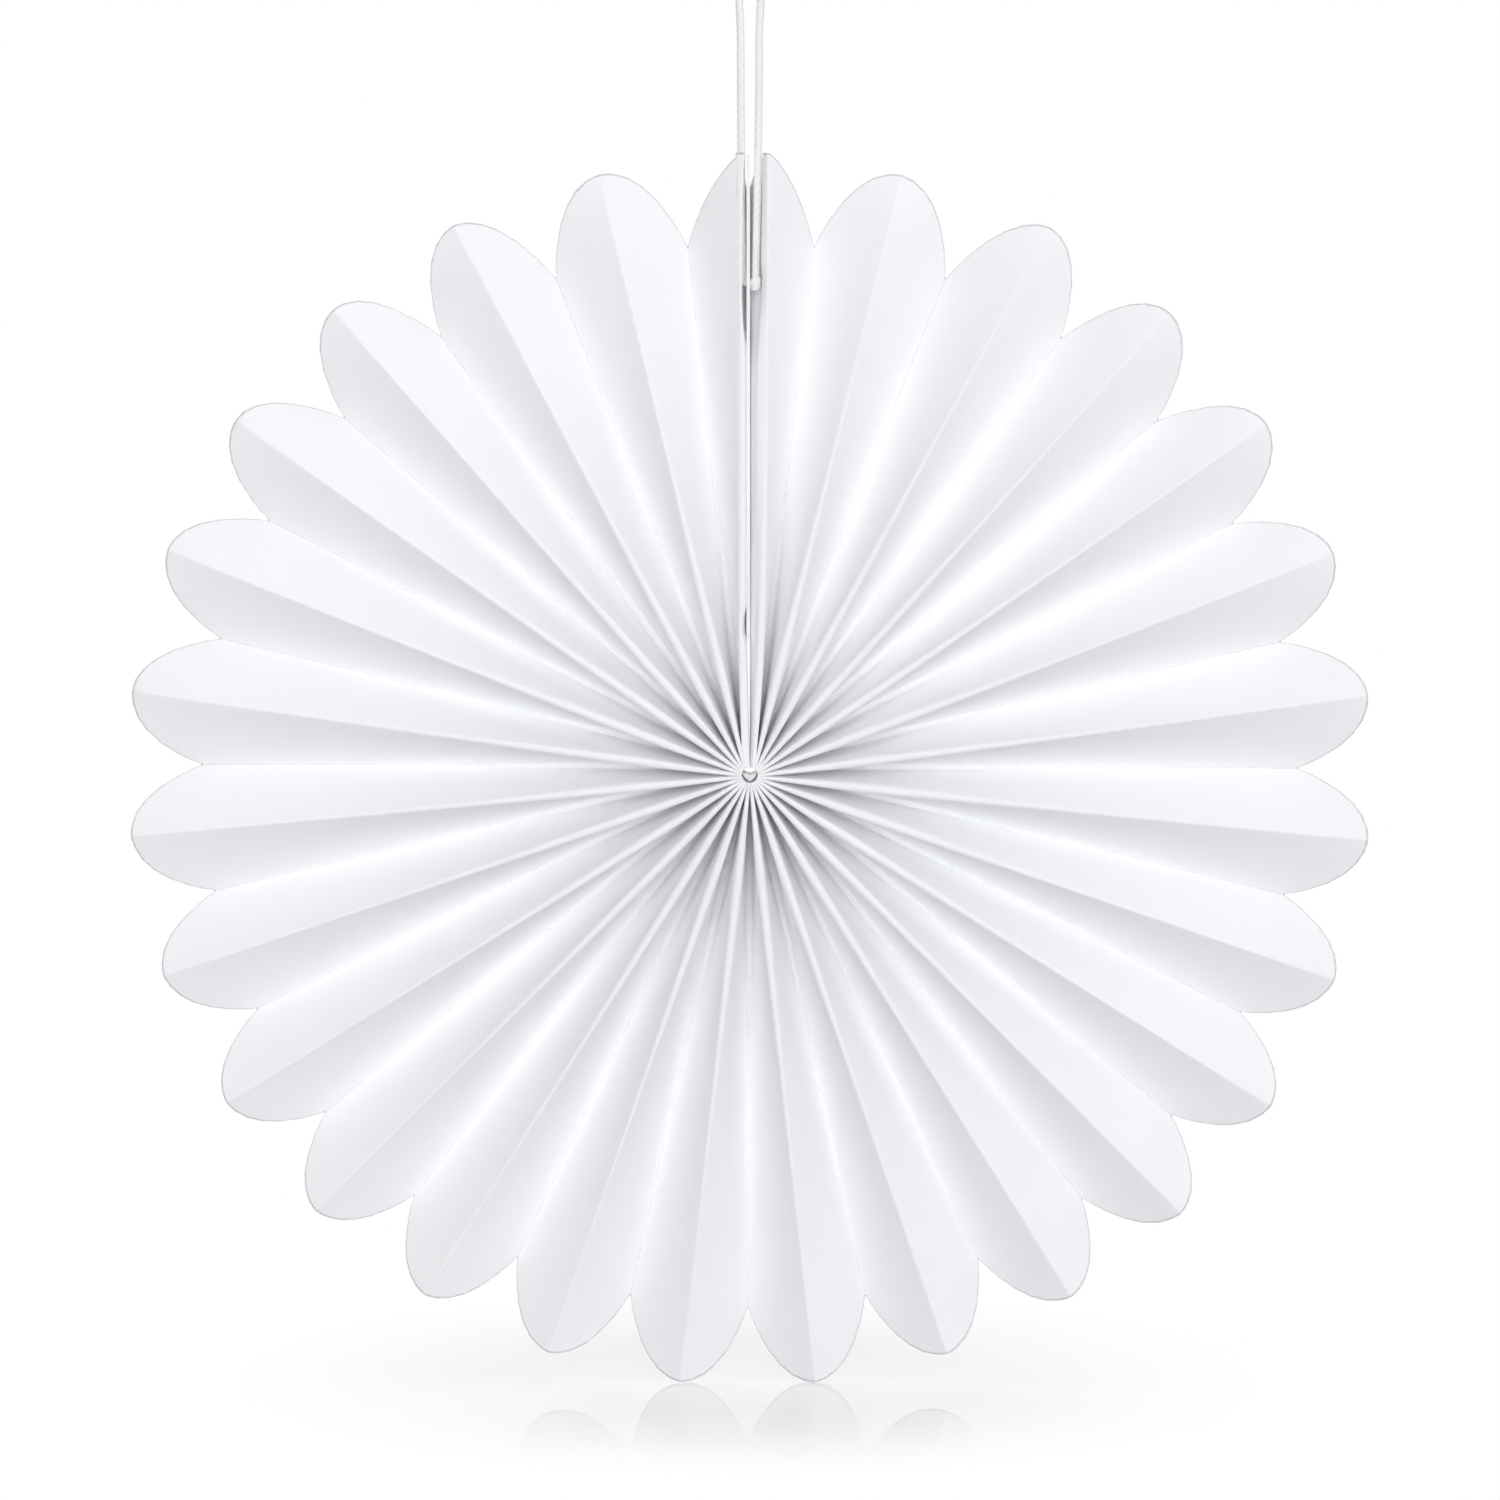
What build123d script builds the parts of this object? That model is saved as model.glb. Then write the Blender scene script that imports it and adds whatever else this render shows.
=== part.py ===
from build123d import *
import os
from math import cos, hypot, pi, radians, sin, sqrt, tan

# Paper fan rosette hung on a cord loop. Millimetres, +Z up, the front faces -Y.
# The origin is the middle of the hub, half way through the depth of the pleats.

# Driving dimensions
outer_diameter = 400.0      # across the tips of the petals
petal_count = 27            # whole petals and the one that the joint splits in two
paper = 0.22                # thickness of the card
hub_play = 0.03             # room between two pleats where they are packed at the hub
hub_gap = 2.6               # between the end ridges at the hub, measured round it
notch_fold_depth = 14.5     # front to back of an average pleat where two petals part
petal_length = 25.0         # from the notch between two petals to their tips, on average
petal_length_joint = 3.8    # how much deeper the notches are cut beside the joint
petal_length_quarter = 1.6  # how much deeper at the joint and opposite it than at the sides
petal_round = 2.15          # power of the curve that rounds a petal's end
joint_left = -1.28          # angle of the last ridge on the left of the joint, degrees
joint_right = 1.67          # angle of the first ridge on the right of it
spread = 2.1                # how far the folds crowd towards the bottom, degrees
spread_twice = 0.5          # the same, twice round
valley_lean = 0.5           # how far the valleys lie off the middle of their ridges, degrees
joint_pull = 1.0            # how far the joint pulls the pleats beside it, degrees
joint_pull_left = 0.7       # and the next ridge on its left
joint_bow_right = 1.6       # how far the joint bows the end ridge on its right outwards
joint_bow_left = 1.2        # and the one on its left
bow_power_right = 0.8       # 1 has the bow half way to the rim, less nearer to the hub
bow_power_left = 0.45

strip_thickness = 1.0       # joining strip between the two end flaps
strip_start = 42.5          # its lower point, measured from the hub
strip_shoulder = 78.0       # where its front edge comes up behind the end ridges
strip_point_depth = 7.4     # from the end ridges back to its lower point
strip_slant = 20.0          # how much higher its lower end is at the back
strip_set_back = 1.0        # from the end ridges to its front edge at the tips
strip_shoulder_back = 2.0   # and at the shoulder
strip_inset = 0.8           # from the flaps' cut ends to its own
strip_heel_inset = 1.8      # from the flaps' back edges to its own at its lower end
strip_top_inset = 1.2       # and at the notch
glue = 0.06                 # film between the strip and a flap
flap_bend = 0.35            # share of a flap in front of the line where it turns back
slot_open = 128.0           # radius where the slots for the cord start to open
slot_full = 152.0           # radius from which they are wide enough for it
slot_left = 0.5             # width of the slot left of the strip, below the knot
slot_right = 2.3            # and right of it

cord_diameter = 2.5
cord_play = 0.1             # between the cord and what it runs past
cord_gap = 5.8              # between the middles of the two strands above the rim
cord_depth = -3.0           # where the strands run, from the middle of the pleats
cord_upright = 205.5        # height from which the two strands run upright
cord_seat = 0.06            # between the ends of the strands and the knot
knot_height = 157.5         # middle of the knot, from the hub
knot_diameter = 3.6
knot_length = 5.2
knot_foot_diameter = 2.0    # where it is drawn in at its lower end
neck_diameter = 2.0         # the cord squeezed through the strip

thread_diameter = 0.5       # thread that draws the pleats together
thread_ring_radius = 4.5
thread_hole_play = 0.06

# Values that follow from them
ridge_count = petal_count + 1
fold_count = 2 * ridge_count - 1
tip_radius = outer_diameter / 2
leaf_pitch = paper + hub_play
hub_round = (fold_count - 1) * leaf_pitch + hub_gap
hub_radius = hub_round / (2 * pi)
fold_half = leaf_pitch / 2
mean_notch = tip_radius - petal_length
mean_half_pitch = radians(360 + joint_left - joint_right) / (2 * petal_count)
pleat_width = hypot(2 * mean_notch * sin(mean_half_pitch / 2), notch_fold_depth)
cord_radius = cord_diameter / 2
strip_left = -strip_thickness
strip_right = 0.0
left_strand = strip_left - cord_play - cord_radius
right_strand = strip_right + cord_play / 2 + knot_diameter / 2

# Stations along a fold, as shares of the way from the hub to the notch, and across a
# petal's round end, as shares of a pleat's width that is left there.
stations = [0.0, 0.235, 0.5, 0.75, 0.895, 1.0]
end_shares = [0.8, 0.58, flap_bend, 0.17, 0.0]
last = len(stations) - 1
strip_top_shares = [0.92, 0.75, 0.5, 0.25, 0.06]


def polar(radius, angle, y):
    return Vector(radius * sin(radians(angle)), y, radius * cos(radians(angle)))


def mix(a, b, share):
    return a + (b - a) * share


def ridge_angle(k):
    share = k / petal_count
    angle = mix(joint_right, 360 + joint_left, share)
    angle += spread * sin(2 * pi * share) - spread_twice * sin(4 * pi * share)
    if k == 1:
        angle -= joint_pull
    if k == petal_count - 1:
        angle += joint_pull_left
    return angle


def fold_angle(k):
    """Even folds are ridges, odd ones valleys, clockwise from the joint."""
    if k % 2 == 0:
        return ridge_angle(k // 2)
    middle = (ridge_angle(k // 2) + ridge_angle(k // 2 + 1)) / 2
    if k == 1:
        return middle - joint_pull
    if k == fold_count - 2:
        return middle + joint_pull
    return middle + valley_lean * sin(2 * pi * k / fold_count)


def hub_angle(k):
    """At the hub the pleats lie packed side by side, apart from the gap at the joint."""
    return (hub_gap / 2 + k * leaf_pitch) * 360 / hub_round


def joint_bow(k, share):
    """How far to the right fold k is bowed at that share of the way to the rim."""
    if k == 0:
        return joint_bow_right * sin(pi * share**bow_power_right)
    if k == fold_count - 1:
        return -joint_bow_left * sin(pi * share**bow_power_left)
    return 0


def notch_radius(angle):
    a = radians(angle)
    return mean_notch - petal_length_joint * cos(a) - petal_length_quarter * cos(2 * a)


def fold_point(k, radius):
    """A point of fold k in the plane of the disc. All but the end ridges run straight."""
    inner = polar(hub_radius, hub_angle(k), 0)
    outer = polar(tip_radius, fold_angle(k), 0)
    share = (radius - hub_radius) / (tip_radius - hub_radius)
    return mix(inner, outer, share) + Vector(joint_bow(k, share), 0, 0)


def station_radius(k, share):
    return mix(hub_radius, notch_radius(fold_angle(k)), share)


def end_radius(k, left):
    """Radius on fold k where the petal's end has narrowed to that share of the pleat."""
    return mix(notch_radius(fold_angle(k)), tip_radius, 1 - left**petal_round)


def pleat_depth(k, i):
    """Front to back of the pleat between folds k and k + 1 at station i."""
    a = fold_point(k, station_radius(k, stations[i]))
    b = fold_point(k + 1, station_radius(k + 1, stations[i]))
    run = (b - a).length - 2 * fold_half
    return sqrt(pleat_width**2 - run**2)


def fold_height(k, i):
    """How far fold k stands from the middle plane at station i."""
    beside = [pleat_depth(j, i) for j in (k - 1, k) if 0 <= j < fold_count - 1]
    return sum(beside) / len(beside) / 2


def fold_line(k, side):
    """One corner line of fold k, from the hub to the notch and on to the tip."""
    front = -1 if k % 2 == 0 else 1
    along = (fold_point(k, tip_radius) - fold_point(k, hub_radius)).normalized()
    across = Vector(along.Z, 0, -along.X) * (side * fold_half)
    points = []
    for i, share in enumerate(stations):
        level = Vector(0, front * fold_height(k, i), 0)
        points.append(fold_point(k, station_radius(k, share)) + across + level)
    slope = (points[last].Y - points[last - 1].Y) / (
        station_radius(k, 1) - station_radius(k, stations[last - 1])
    )
    for left in end_shares:
        radius = end_radius(k, left)
        level = Vector(0, points[last].Y + slope * (radius - station_radius(k, 1)), 0)
        points.append(fold_point(k, radius) + across + level)
    return points


def smooth_step(x, low, high):
    s = min(1.0, max(0.0, (x - low) / (high - low)))
    return s * s * (3 - 2 * s)


def strand_place(side, height):
    """Sideways middle of a strand: it leans out from the knot to the rim."""
    start = left_strand if side < 0 else right_strand
    share = (height - knot_height) / (cord_upright - knot_height)
    return mix(start, side * cord_gap / 2, min(1.0, max(0.0, share)))


def bend_place(side, radius):
    """Sideways place of a flap's bend line, which leaves room for a strand of the cord."""
    wide = smooth_step(radius, slot_open, slot_full)
    room = knot_diameter / 2 if side > 0 else cord_radius
    full = strand_place(side, radius) + side * (room + 2 * cord_play + paper / 2)
    narrow = strip_right + slot_right if side > 0 else strip_left - slot_left
    return mix(narrow, full, wide) * min(1.0, radius / strip_start)


def edge_place(side, radius):
    """Sideways place of a flap's back edge, glued to the strip."""
    face = strip_left - glue if side < 0 else strip_right + glue
    return (face + side * paper / 2) * min(1.0, radius / strip_start)


def flap_lines(side, ridge_line):
    """The bend line and the back edge of the flap behind one end ridge."""
    bend, edge = [], []
    for i, corner in enumerate(ridge_line):
        radius = corner.Z
        hub = side * fold_half
        first = i == 0
        bx = hub if first else bend_place(side, radius)
        by = corner.Y + sqrt((flap_bend * pleat_width) ** 2 - (bx - corner.X) ** 2)
        ex = hub if first else edge_place(side, radius)
        ey = by + sqrt(((1 - flap_bend) * pleat_width) ** 2 - (ex - bx) ** 2)
        bend.append(Vector(bx, by, radius))
        edge.append(Vector(ex, ey, radius))
    return bend, edge


class Sheet:
    """A folded sheet as strips between lines, given its thickness at the end."""

    def __init__(self):
        self.points = {}
        self.normals = {}
        self.triangles = []

    def line(self, name, points):
        keys = []
        for i, point in enumerate(points):
            self.points[name, i] = point
            keys.append((name, i))
        return keys

    def strip(self, left, right):
        """Adds the surface between two lines of points. They may end in one point."""
        at = self.points
        count = len(left)
        for i in range(count):
            before, after = max(0, i - 1), min(count - 1, i + 1)
            along = at[left[after]] - at[left[before]] + at[right[after]] - at[right[before]]
            wide = i if left[i] != right[i] else i - 1
            across = at[right[wide]] - at[left[wide]]
            normal = along.cross(across).normalized()
            for key in {left[i], right[i]}:
                self.normals.setdefault(key, []).append(normal)
            if i < count - 1:
                self.triangle(left[i], left[i + 1], right[i + 1])
                self.triangle(left[i], right[i + 1], right[i])

    def triangle(self, a, b, c):
        if len({a, b, c}) == 3:
            self.triangles.append((a, b, c))

    def shift(self, key):
        """From the middle of the paper to its surface, mitred where two strips meet."""
        normals = self.normals[key]
        total = normals[0]
        if len(normals) == 2:
            total = (normals[0] + normals[1]) / (1 + normals[0].dot(normals[1]))
        return total * (paper / 2)

    def solid(self):
        front = {key: p + self.shift(key) for key, p in self.points.items() if key in self.normals}
        back = {key: p - self.shift(key) for key, p in self.points.items() if key in self.normals}
        faces = []
        edges = set()
        for a, b, c in self.triangles:
            faces.append(facet(front[a], front[b], front[c]))
            faces.append(facet(back[a], back[c], back[b]))
            edges.update(((a, b), (b, c), (c, a)))
        for a, b in edges:
            if (b, a) not in edges:
                faces.append(facet(front[b], front[a], back[a]))
                faces.append(facet(front[b], back[a], back[b]))
        return Solid(Shell(faces))


def facet(a, b, c):
    return Face(Wire.make_polygon([a, b, c]))


def pleated_sheet():
    """One strip of card, folded into pleats, opened into a disc, with a flap at each end."""
    sheet = Sheet()
    corners = {}
    for k in range(fold_count):
        for side in (-1, 1):
            line = fold_line(k, side)
            if k % 2 == 1:
                line = line[: last + 1]
            corners[k, side] = sheet.line(("fold", k, side), line)
    for k in range(fold_count):
        sheet.strip(corners[k, -1], corners[k, 1])

    for k in range(fold_count - 1):
        left, right = corners[k, 1], corners[k + 1, -1]
        ridge, valley = (left, right) if k % 2 == 0 else (right, left)
        valley_fold = k + 1 if k % 2 == 0 else k
        valley_side = -1 if k % 2 == 0 else 1
        beyond = fold_line(valley_fold, valley_side)
        cut = []
        for m, share in enumerate(end_shares[:-1]):
            start = sheet.points[ridge[last + 1 + m]]
            cut.append(mix(start, beyond[last + 1 + m], share))
        cut_keys = sheet.line(("cut", k), cut)
        outline = valley + cut_keys + [ridge[-1]]
        if k % 2 == 0:
            sheet.strip(ridge, outline)
        else:
            sheet.strip(outline, ridge)

    add_flap(sheet, 1, corners[0, -1])
    add_flap(sheet, -1, corners[fold_count - 1, 1])
    return sheet.solid()


def add_flap(sheet, side, ridge):
    """The flap goes straight back from an end ridge. Its end is cut like half a petal."""
    ridge_line = [sheet.points[key] for key in ridge]
    bend, edge = flap_lines(side, ridge_line)
    turn = last + 1 + end_shares.index(flap_bend)
    back_cut, front_cut = [], []
    for m, share in enumerate(end_shares[:-1]):
        i = last + 1 + m
        if share > flap_bend:
            back_cut.append(mix(bend[i], edge[i], (share - flap_bend) / (1 - flap_bend)))
        elif share < flap_bend:
            front_cut.append(mix(ridge_line[i], bend[i], share / flap_bend))
    bend_keys = sheet.line(("bend", side), bend[: turn + 1])
    edge_keys = sheet.line(("edge", side), edge[: last + 1])
    back_keys = edge_keys + sheet.line(("back cut", side), back_cut) + [bend_keys[-1]]
    front_keys = bend_keys + sheet.line(("front cut", side), front_cut) + [ridge[-1]]
    if side > 0:
        sheet.strip(front_keys, ridge)
        sheet.strip(back_keys, bend_keys)
    else:
        sheet.strip(ridge, front_keys)
        sheet.strip(bend_keys, back_keys)


def thread_channel():
    """The pricked holes: one square channel round the hub, through every pleat."""
    width = thread_diameter + 2 * thread_hole_play
    outer = Cylinder(thread_ring_radius + width / 2, width, rotation=(90, 0, 0))
    inner = Cylinder(thread_ring_radius - width / 2, width * 2, rotation=(90, 0, 0))
    return outer - inner


def pleated_paper():
    return pleated_sheet() - thread_channel()


def centre_thread():
    return Torus(thread_ring_radius, thread_diameter / 2, rotation=(90, 0, 0))


def joining_strip():
    """A card strip between the end flaps, cut at its top like them, with a pointed foot."""
    rim = notch_radius(0)
    low_front = -fold_height(0, 1)
    top_front = fold_line(0, 1)[-1].Y + strip_set_back
    top_back = -fold_height(0, last) + pleat_width - strip_top_inset
    point = Vector(0, low_front + strip_point_depth, strip_start)
    heel = Vector(0, low_front + pleat_width - strip_heel_inset, strip_start + strip_slant)
    shoulder = Vector(0, -fold_height(0, 2) + strip_shoulder_back, strip_shoulder)
    top = []
    for share in strip_top_shares:
        height = mix(rim, tip_radius, 1 - share**petal_round) - strip_inset
        top.append(Vector(0, mix(top_front, top_back, share), height))
    outline = Wire([
        Edge.make_line(point, heel),
        Edge.make_line(heel, top[0]),
        Edge.make_spline(top),
        Edge.make_line(top[-1], shoulder),
        Edge.make_line(shoulder, point),
    ])
    strip = extrude(Face(outline), amount=strip_thickness, dir=(-1, 0, 0))
    hole = Cylinder(neck_diameter / 2 + cord_play, 4 * strip_thickness, rotation=(0, 90, 0))
    return strip - Pos(strip_left, cord_depth, knot_height) * hole


def hanging_knot():
    """The knot on the right of the strip, its neck through the strip, and the bend behind."""
    half, foot = knot_length / 2, knot_foot_diameter / 2
    profile = Wire([
        Edge.make_line((0, 0, -half), (foot, 0, -half)),
        Edge.make_three_point_arc(
            (foot, 0, -half), (knot_diameter / 2, 0, 0), (cord_radius, 0, half)
        ),
        Edge.make_line((cord_radius, 0, half), (0, 0, half)),
        Edge.make_line((0, 0, half), (0, 0, -half)),
    ])
    body = Pos(right_strand, 0, 0) * revolve(Face(profile), Axis.Z, 360)
    neck_length = right_strand - left_strand
    neck = Pos((right_strand + left_strand) / 2, 0, 0) * Cylinder(
        neck_diameter / 2, neck_length, rotation=(0, 90, 0)
    )
    bend = Pos(left_strand, 0, cord_radius / 2) * Cylinder(cord_radius, cord_radius)
    bend += Pos(left_strand, 0, 0) * Sphere(cord_radius)
    return Pos(0, cord_depth, knot_height) * (body + neck + bend)


def cord_route():
    """Up the right strand, over the loop that a hook holds, down the left strand."""
    y = cord_depth
    half = cord_gap / 2
    return [
        Vector(right_strand, y, knot_height + knot_length / 2 + cord_seat),
        Vector(half, y, cord_upright),
        Vector(half + 0.1, y, 256),
        Vector(8.9, y, 268.4),
        Vector(9.7, y, 276.6),
        Vector(4.1, y, 282.4),
        Vector(-4.2, y, 282.2),
        Vector(-9.6, y, 276.2),
        Vector(-8.7, y, 268.0),
        Vector(-half, y, 255.6),
        Vector(-half, y, cord_upright),
        Vector(left_strand, y, knot_height + cord_radius + cord_seat),
    ]


def arc_radii(route):
    """Each arc is as large as its two runs allow."""
    radii = []
    for a, b, c in zip(route, route[1:], route[2:]):
        before, after = b - a, c - b
        half_turn = radians(before.get_angle(after)) / 2
        radii.append(0.45 * min(before.length, after.length) / tan(half_turn))
    return radii


def hanging_cord():
    route = cord_route()
    radii = arc_radii(route)
    path = FilletPolyline(*route, radius=radii)
    start = Plane(path @ 0, z_dir=path % 0)
    cord = sweep(start * Circle(cord_radius), path)
    section = pi * cord_radius**2 * path.length
    print("cord length", round(path.length, 1), "radii", [round(r, 1) for r in radii])
    print("cord volume over section times length", round(cord.volume / section, 4))
    return cord


os.makedirs("parts", exist_ok=True)
pieces = {
    "pleated_paper": pleated_paper,
    "joining_strip": joining_strip,
    "centre_thread": centre_thread,
    "hanging_cord": hanging_cord,
    "hanging_knot": hanging_knot,
}
for name, make in pieces.items():
    piece = make()
    piece.label = name
    export_step(piece, "parts/" + name + ".step")
    print(name, "volume", round(piece.volume, 1))
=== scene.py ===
import math

import bpy
import numpy as np
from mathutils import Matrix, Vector


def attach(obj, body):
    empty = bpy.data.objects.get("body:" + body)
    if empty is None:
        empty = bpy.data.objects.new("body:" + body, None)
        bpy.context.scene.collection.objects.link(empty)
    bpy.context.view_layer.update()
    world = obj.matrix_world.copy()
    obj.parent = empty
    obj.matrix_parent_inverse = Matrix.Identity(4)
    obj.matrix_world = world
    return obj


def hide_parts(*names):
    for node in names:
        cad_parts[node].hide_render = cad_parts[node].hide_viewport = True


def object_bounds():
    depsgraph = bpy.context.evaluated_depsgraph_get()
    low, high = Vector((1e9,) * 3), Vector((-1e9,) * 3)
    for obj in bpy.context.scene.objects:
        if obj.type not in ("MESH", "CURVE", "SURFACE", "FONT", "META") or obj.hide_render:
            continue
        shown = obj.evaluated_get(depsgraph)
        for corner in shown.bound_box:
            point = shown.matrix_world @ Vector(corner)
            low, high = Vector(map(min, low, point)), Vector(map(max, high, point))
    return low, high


# Paper fan rosette on its cord. Metres, +Z up, the front faces -Y, origin in the hub.

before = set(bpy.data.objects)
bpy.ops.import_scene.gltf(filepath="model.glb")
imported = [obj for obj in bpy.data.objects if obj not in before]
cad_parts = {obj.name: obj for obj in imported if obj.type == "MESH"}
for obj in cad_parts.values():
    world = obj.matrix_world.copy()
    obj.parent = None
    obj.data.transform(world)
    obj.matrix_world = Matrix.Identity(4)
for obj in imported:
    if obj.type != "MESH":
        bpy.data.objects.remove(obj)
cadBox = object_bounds()
print("frame loaded:", sorted(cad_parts))


# Small helpers for shader nodes


def newMaterial(name):
    material = bpy.data.materials.new(name)
    material.use_nodes = True
    tree = material.node_tree
    return material, tree.nodes, tree.links, tree.nodes["Principled BSDF"]


def newGroup(name, inputs, outputs):
    group = bpy.data.node_groups.new(name, "ShaderNodeTree")
    for label, kind, value in inputs:
        socket = group.interface.new_socket(label, in_out="INPUT", socket_type="NodeSocket" + kind)
        if value is not None:
            socket.default_value = value
    for label, kind in outputs:
        group.interface.new_socket(label, in_out="OUTPUT", socket_type="NodeSocket" + kind)
    given = group.nodes.new("NodeGroupInput")
    result = group.nodes.new("NodeGroupOutput")
    return group, group.nodes, group.links, given.outputs, result.inputs


def useGroup(nodes, group, values):
    node = nodes.new("ShaderNodeGroup")
    node.node_tree = group
    for label, value in values.items():
        node.inputs[label].default_value = value
    return node


def feed(links, socket, value):
    if isinstance(value, bpy.types.NodeSocket):
        links.new(value, socket)
    else:
        socket.default_value = value


def mathNode(nodes, links, operation, first, second=0.0, third=0.0, clamp=False):
    node = nodes.new("ShaderNodeMath")
    node.operation = operation
    node.use_clamp = clamp
    for socket, value in zip(node.inputs, (first, second, third)):
        feed(links, socket, value)
    return node.outputs[0]


def mixColour(nodes, links, share, first, second):
    node = nodes.new("ShaderNodeMix")
    node.data_type = "RGBA"
    feed(links, node.inputs[0], share)
    feed(links, node.inputs[6], first)
    feed(links, node.inputs[7], second)
    return node.outputs[2]


def rampMask(nodes, links, value, low, high):
    node = nodes.new("ShaderNodeMapRange")
    node.interpolation_type = "SMOOTHSTEP"
    for label, given in (("Value", value), ("From Min", low), ("From Max", high)):
        feed(links, node.inputs[label], given)
    return node.outputs["Result"]


def noiseNode(nodes, links, vector, scale, detail=3.0, roughness=0.5, distortion=0.0):
    node = nodes.new("ShaderNodeTexNoise")
    links.new(vector, node.inputs["Vector"])
    feed(links, node.inputs["Scale"], scale)
    node.inputs["Detail"].default_value = detail
    node.inputs["Roughness"].default_value = roughness
    node.inputs["Distortion"].default_value = distortion
    return node.outputs["Fac"]


def stretched(nodes, links, vector, scale, turn=(0.0, 0.0, 0.0)):
    node = nodes.new("ShaderNodeMapping")
    links.new(vector, node.inputs["Vector"])
    node.inputs["Rotation"].default_value = turn
    node.inputs["Scale"].default_value = scale
    return node.outputs["Vector"]


def bumpNode(nodes, links, height, distance, strength):
    node = nodes.new("ShaderNodeBump")
    node.inputs["Distance"].default_value = distance
    node.inputs["Strength"].default_value = strength
    links.new(height, node.inputs["Height"])
    return node.outputs["Normal"]


# Effects that several materials share

fibreLook = {
    "turns": (0.3, 1.4, 2.4),  # the ways that the fibres lie, in radians
    "tilt": 0.7,  # how much they also turn about the second axis, against the others
    "stretch": (0.22, 1, 1),
    "grainScale": 2.3,  # of the fine grain, against the fibres
    "grainHeight": 0.35,
    "cloudRange": (0.42, 0.68),
    "toneRange": (0.72, 0.5),
    "tone": 0.25,
    "uneven": (0.12, -0.07),  # how the roughness follows the fibres
}

yarnLook = {
    "stretch": (3.2, 0.55, 1),  # the fibres run along the strands
    "toneRange": (0.62, 0.35),
    "tone": 0.3,
    "lintRoughness": 0.1,
    "lintHeight": 0.3,
    "strandRound": 0.7,
    "lineOrder": 3,  # of the spline that a yarn follows
    "linePoints": 24,  # between two points of its route
    "grooveShadeWidth": 0.16,
    "roughness": 0.88,
    "bumpStrength": 0.6,
    "sheen": 0.15,
    "specular": 0.2,
}


def makeFibreGroup():
    group, nodes, links, given, result = newGroup(
        "paperFibres",
        [
            ("Vector", "Vector", None),
            ("Colour", "Color", (0.9, 0.9, 0.92, 1)),
            ("Shade Colour", "Color", (0.85, 0.85, 0.87, 1)),
            ("Fibre Scale", "Float", 900.0),
            ("Cloud Scale", "Float", 45.0),
            ("Cloud", "Float", 0.4),
            ("Roughness", "Float", 0.8),
        ],
        [("Colour", "Color"), ("Roughness", "Float"), ("Height", "Float")],
    )
    # Fibres lie in all directions, so three stretched noises cross each other.
    layers = []
    for turn in fibreLook["turns"]:
        turned = (turn, turn * fibreLook["tilt"], turn)
        along = stretched(nodes, links, given["Vector"], fibreLook["stretch"], turned)
        layers.append(noiseNode(nodes, links, along, given["Fibre Scale"], roughness=0.6, distortion=0.4))
    both = mathNode(nodes, links, "MAXIMUM", layers[0], layers[1])
    fibres = mathNode(nodes, links, "MAXIMUM", both, layers[2])
    grainScale = mathNode(nodes, links, "MULTIPLY", given["Fibre Scale"], fibreLook["grainScale"])
    grain = noiseNode(nodes, links, given["Vector"], grainScale, detail=2)
    height = mathNode(nodes, links, "MULTIPLY_ADD", grain, fibreLook["grainHeight"], fibres)
    links.new(height, result["Height"])
    cloud = noiseNode(nodes, links, given["Vector"], given["Cloud Scale"], detail=4, roughness=0.55)
    share = rampMask(nodes, links, cloud, *fibreLook["cloudRange"])
    share = mathNode(nodes, links, "MULTIPLY", share, given["Cloud"])
    fine = rampMask(nodes, links, fibres, *fibreLook["toneRange"])
    share = mathNode(nodes, links, "MULTIPLY_ADD", fine, fibreLook["tone"], share, clamp=True)
    links.new(mixColour(nodes, links, share, given["Colour"], given["Shade Colour"]), result["Colour"])
    uneven = mathNode(nodes, links, "MULTIPLY_ADD", fibres, *fibreLook["uneven"])
    links.new(mathNode(nodes, links, "ADD", given["Roughness"], uneven), result["Roughness"])
    return group


def makeYarnGroup():
    group, nodes, links, given, result = newGroup(
        "twistedYarn",
        [
            ("UV", "Vector", None),
            ("Colour", "Color", (0.9, 0.89, 0.87, 1)),
            ("Fibre Tone And Groove Shade", "Color", (0.7, 0.69, 0.67, 1)),
            ("Fibre Scale", "Float", 8.0),
            ("Groove Shade Width", "Float", 0.2),
            ("Roughness", "Float", 0.9),
        ],
        [("Colour", "Color"), ("Roughness", "Float"), ("Height", "Float")],
    )
    # U counts the strands round the yarn and V runs along them, in diameters.
    split = nodes.new("ShaderNodeSeparateXYZ")
    links.new(given["UV"], split.inputs[0])
    inStrand = mathNode(nodes, links, "FRACT", split.outputs["X"])
    fromEdge = mathNode(nodes, links, "PINGPONG", inStrand, 0.5)
    # Painted shade in the grooves between the strands; the darker fibres get the same colour.
    groove = rampMask(nodes, links, fromEdge, given["Groove Shade Width"], 0.0)
    along = stretched(nodes, links, given["UV"], yarnLook["stretch"])
    fibres = noiseNode(nodes, links, along, given["Fibre Scale"], roughness=0.6, distortion=0.3)
    lint = noiseNode(nodes, links, given["UV"], given["Fibre Scale"], detail=4, roughness=0.7)
    tone = rampMask(nodes, links, fibres, *yarnLook["toneRange"])
    shade = mathNode(nodes, links, "MULTIPLY_ADD", tone, yarnLook["tone"], groove, clamp=True)
    links.new(mixColour(nodes, links, shade, given["Colour"], given["Fibre Tone And Groove Shade"]), result["Colour"])
    rough = mathNode(
        nodes, links, "MULTIPLY_ADD", lint, yarnLook["lintRoughness"], given["Roughness"], clamp=True
    )
    links.new(rough, result["Roughness"])
    height = mathNode(nodes, links, "MULTIPLY_ADD", lint, yarnLook["lintHeight"], fibres)
    links.new(height, result["Height"])
    return group


def coordinates(nodes, name):
    return nodes.new("ShaderNodeTexCoord").outputs[name]


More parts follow.
